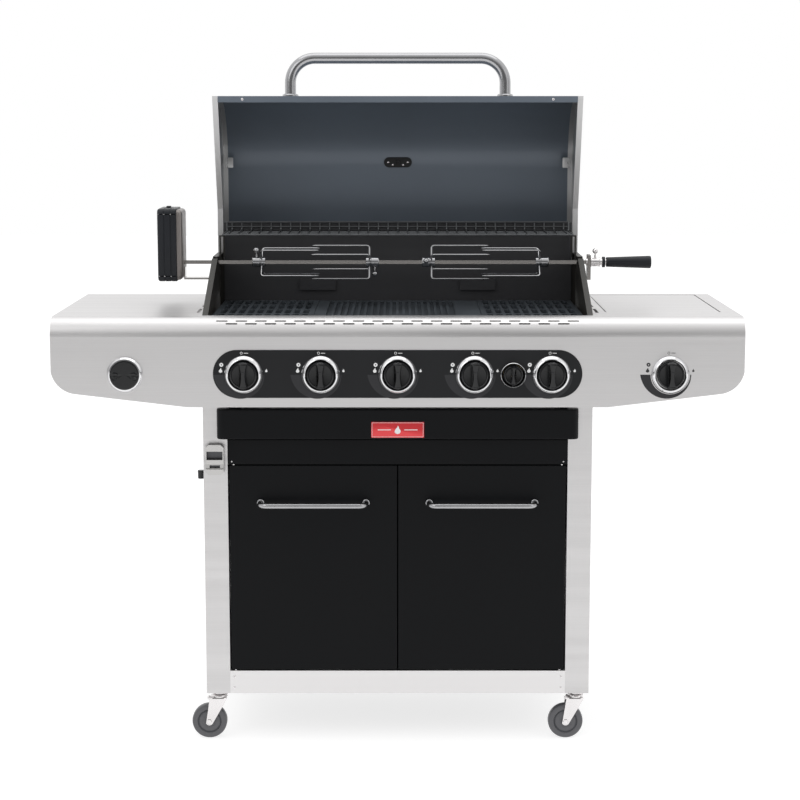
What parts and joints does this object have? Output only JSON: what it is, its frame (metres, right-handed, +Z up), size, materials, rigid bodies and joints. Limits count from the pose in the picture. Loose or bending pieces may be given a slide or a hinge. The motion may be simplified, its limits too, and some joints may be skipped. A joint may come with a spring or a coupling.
{
  "type": "gas barbecue grill",
  "caption": "Gas barbecue on a wheeled cabinet: hinged lid, cast grates and griddle, rotisserie with motor, warming rack, side shelves, side burner, doors, drip tray and casters.",
  "frame": {"origin": "on the floor under the middle of the whole object at rest, lid open", "axes": "+Z up, +Y from the control panel to the back, +X to the user's right when facing the control panel"},
  "size_m": [1.45, 0.669, 1.4744],
  "materials": {
    "brushed_body": "satin brushed",
    "rail_steel": "satin",
    "black_sheet": "satin black powder coat",
    "tray_steel": "galvanised",
    "badge_red": "gloss",
    "chrome_trim": "polished",
    "firebox_enamel": "gloss porcelain enamel",
    "grate_iron": "enamelled",
    "burner_steel": "satin",
    "gas_brass": "satin",
    "rack_wire": "plated wire, darkened",
    "bowl_enamel": "gloss enamel",
    "burner_iron": "matt",
    "lid_blue_grey": "satin",
    "cap_silver": "satin",
    "handle_steel": "polished",
    "gauge_black": "satin",
    "bumper_rubber": "matt",
    "pin_zinc": "bright zinc",
    "motor_black": "fine grain",
    "bracket_steel": "satin",
    "spit_steel": "plated",
    "spit_grip": "satin",
    "knob_black": "satin gloss",
    "hook_black": "satin",
    "caster_grey": "satin"
  },
  "bodies": {
    "root": {"back_panel": "black_sheet", "bottle_opener": "bracket_steel", "bottom_shelf": "black_sheet", "burner_tubes": "burner_steel", "control_panel": "brushed_body", "cooking_grates": "grate_iron", "corner_posts": "brushed_body", "firebox_back": "firebox_enamel", "firebox_sides": "firebox_enamel", "firebox_tub": "firebox_enamel", "flame_tamers": "burner_steel", "frame_rails": "rail_steel", "front_fascia": "black_sheet", "gas_manifold": "gas_brass", "griddle": "grate_iron", "hinge_pins": "pin_zinc", "knob_bezels": "chrome_trim", "left_shelf": "brushed_body", "motor_housing": "motor_black", "panel_insert": "black_sheet", "rack_brackets": "firebox_enamel", "right_shelf": "brushed_body", "side_burner_bowl": "bowl_enamel", "side_burner_head": "burner_iron", "side_panels": "black_sheet", "spit_brackets": "bracket_steel", "tool_hook": "hook_black", "warming_rack": "rack_wire"},
    "lid": {"lid_shell": "lid_blue_grey", "lid_end_caps": "cap_silver", "lid_handle": "handle_steel", "lid_gauge": "gauge_black", "lid_bumpers": "bumper_rubber"},
    "left_door": {"left_door": "black_sheet", "left_door_handle": "handle_steel"},
    "right_door": {"right_door": "black_sheet", "right_door_handle": "handle_steel"},
    "drip_drawer": {"drip_tray": "tray_steel", "tray_front": "black_sheet", "badge": "badge_red"},
    "side_lid": {"side_burner_lid": "brushed_body"},
    "spit": {"spit_rod": "spit_steel", "spit_forks": "spit_steel", "spit_handle": "spit_grip"},
    "battery_cap": {"battery_cap": "knob_black"},
    "knob_1": {"knob_1": "knob_black"},
    "knob_2": {"knob_2": "knob_black"},
    "knob_3": {"knob_3": "knob_black"},
    "knob_4": {"knob_4": "knob_black"},
    "knob_5": {"knob_5": "knob_black"},
    "small_knob": {"small_knob": "knob_black"},
    "side_knob": {"side_knob": "knob_black"},
    "caster_1": {"caster_fork_1": "pin_zinc"},
    "wheel_1": {"caster_wheel_1": "caster_grey"},
    "caster_2": {"caster_fork_2": "pin_zinc"},
    "wheel_2": {"caster_wheel_2": "caster_grey"},
    "caster_3": {"caster_fork_3": "pin_zinc"},
    "wheel_3": {"caster_wheel_3": "caster_grey"},
    "caster_4": {"caster_fork_4": "pin_zinc"},
    "wheel_4": {"caster_wheel_4": "caster_grey"}
  },
  "joints": [
    {"name": "lid_hinge", "type": "hinge", "parent": "root", "child": "lid", "pos_m": [0, 0.1325, 0.988], "axis": [1, 0, 0], "range_deg": [0, 90]},
    {"name": "left_door_hinge", "type": "hinge", "parent": "root", "child": "left_door", "pos_m": [-0.348, -0.2705, 0.38], "axis": [0, 0, -1], "range_deg": [0, 110]},
    {"name": "right_door_hinge", "type": "hinge", "parent": "root", "child": "right_door", "pos_m": [0.348, -0.2705, 0.38], "axis": [0, 0, 1], "range_deg": [0, 110]},
    {"name": "drip_tray_slide", "type": "slide", "parent": "root", "child": "drip_drawer", "axis": [0, -1, 0], "range_m": [0, 0.36]},
    {"name": "side_lid_hinge", "type": "hinge", "parent": "root", "child": "side_lid", "pos_m": [0.568, 0.1935, 0.915], "axis": [-1, 0, 0], "range_deg": [0, 20]},
    {"name": "spit_turn", "type": "hinge", "parent": "root", "child": "spit", "pos_m": [0, 0.0005, 1.0125], "axis": [1, 0, 0], "continuous": true},
    {"name": "battery_cap_turn", "type": "hinge", "parent": "root", "child": "battery_cap", "pos_m": [-0.57, -0.3095, 0.801], "axis": [0, -1, 0], "range_deg": [0, 90]},
    {"name": "knob_1_turn", "type": "hinge", "parent": "root", "child": "knob_1", "pos_m": [-0.322, -0.3215, 0.801], "axis": [0, -1, 0], "range_deg": [0, 270]},
    {"name": "knob_2_turn", "type": "hinge", "parent": "root", "child": "knob_2", "pos_m": [-0.161, -0.3215, 0.801], "axis": [0, -1, 0], "range_deg": [0, 270]},
    {"name": "knob_3_turn", "type": "hinge", "parent": "root", "child": "knob_3", "pos_m": [0, -0.3215, 0.801], "axis": [0, -1, 0], "range_deg": [0, 270]},
    {"name": "knob_4_turn", "type": "hinge", "parent": "root", "child": "knob_4", "pos_m": [0.161, -0.3215, 0.801], "axis": [0, -1, 0], "range_deg": [0, 270]},
    {"name": "knob_5_turn", "type": "hinge", "parent": "root", "child": "knob_5", "pos_m": [0.322, -0.3215, 0.801], "axis": [0, -1, 0], "range_deg": [0, 270]},
    {"name": "small_knob_turn", "type": "hinge", "parent": "root", "child": "small_knob", "pos_m": [0.2415, -0.3215, 0.801], "axis": [0, -1, 0], "range_deg": [0, 90]},
    {"name": "side_knob_turn", "type": "hinge", "parent": "root", "child": "side_knob", "pos_m": [0.57, -0.3215, 0.801], "axis": [0, -1, 0], "range_deg": [0, 270]},
    {"name": "caster_1_swivel", "type": "hinge", "parent": "root", "child": "caster_1", "pos_m": [-0.3855, -0.251, 0.1], "axis": [0, 0, 1], "continuous": true},
    {"name": "caster_1_roll", "type": "hinge", "parent": "caster_1", "child": "wheel_1", "pos_m": [-0.4075, -0.251, 0.0376], "axis": [0, 1, 0], "continuous": true},
    {"name": "caster_2_swivel", "type": "hinge", "parent": "root", "child": "caster_2", "pos_m": [0.3855, -0.251, 0.1], "axis": [0, 0, 1], "continuous": true},
    {"name": "caster_2_roll", "type": "hinge", "parent": "caster_2", "child": "wheel_2", "pos_m": [0.3635, -0.251, 0.0376], "axis": [0, 1, 0], "continuous": true},
    {"name": "caster_3_swivel", "type": "hinge", "parent": "root", "child": "caster_3", "pos_m": [-0.3855, 0.153, 0.1], "axis": [0, 0, 1], "continuous": true},
    {"name": "caster_3_roll", "type": "hinge", "parent": "caster_3", "child": "wheel_3", "pos_m": [-0.4075, 0.153, 0.0376], "axis": [0, 1, 0], "continuous": true},
    {"name": "caster_4_swivel", "type": "hinge", "parent": "root", "child": "caster_4", "pos_m": [0.3855, 0.153, 0.1], "axis": [0, 0, 1], "continuous": true},
    {"name": "caster_4_roll", "type": "hinge", "parent": "caster_4", "child": "wheel_4", "pos_m": [0.3635, 0.153, 0.0376], "axis": [0, 1, 0], "continuous": true}
  ]
}
